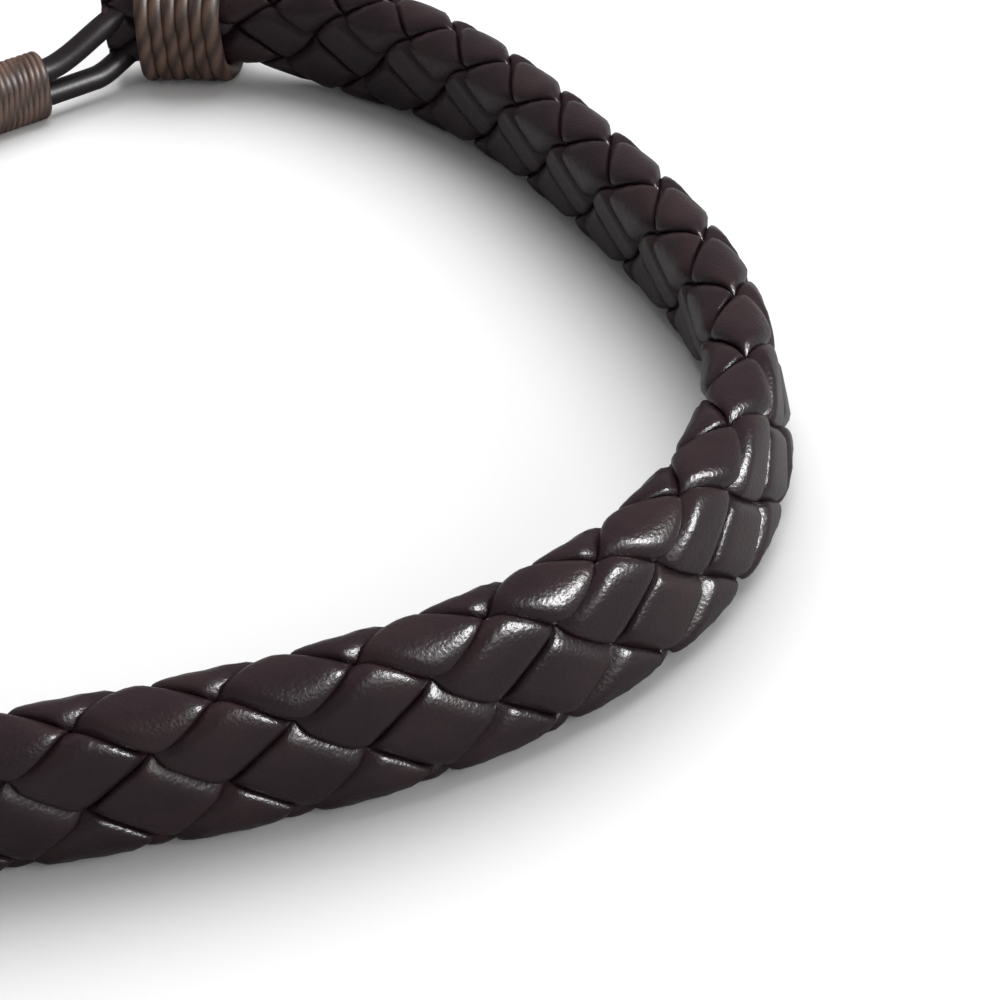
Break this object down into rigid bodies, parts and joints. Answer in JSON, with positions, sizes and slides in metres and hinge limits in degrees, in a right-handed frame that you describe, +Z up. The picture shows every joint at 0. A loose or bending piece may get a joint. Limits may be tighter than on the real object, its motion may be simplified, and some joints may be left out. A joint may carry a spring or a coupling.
{
  "type": "braided leather bracelet",
  "caption": "Loop bracelet of flat leather laces plaited into a flattened band, its ends bound with waxed cord and closed by thin laces through a sliding knot.",
  "frame": {"origin": "middle of the loop's box in plan, on the surface that the bracelet lies on", "axes": "+Z up, along the wrist's axis; +Y towards the bound end that the picture shows; +X to the picture's right"},
  "size_m": [0.0712, 0.0743, 0.0075],
  "materials": {
    "leather": "dark brown, smooth, semi-gloss, fine grain",
    "waxed_cord": "brown waxed cord, nearly matt"
  },
  "bodies": {
    "root": {"strand_1": "leather", "strand_2": "leather", "strand_3": "leather", "strand_4": "leather", "strand_5": "leather", "strand_6": "leather", "strand_7": "leather", "strand_8": "leather", "lace_upper": "leather", "lace_lower": "leather", "whipping_far": "waxed_cord", "whipping_near": "waxed_cord", "sliding_knot": "waxed_cord"}
  },
  "joints": []
}
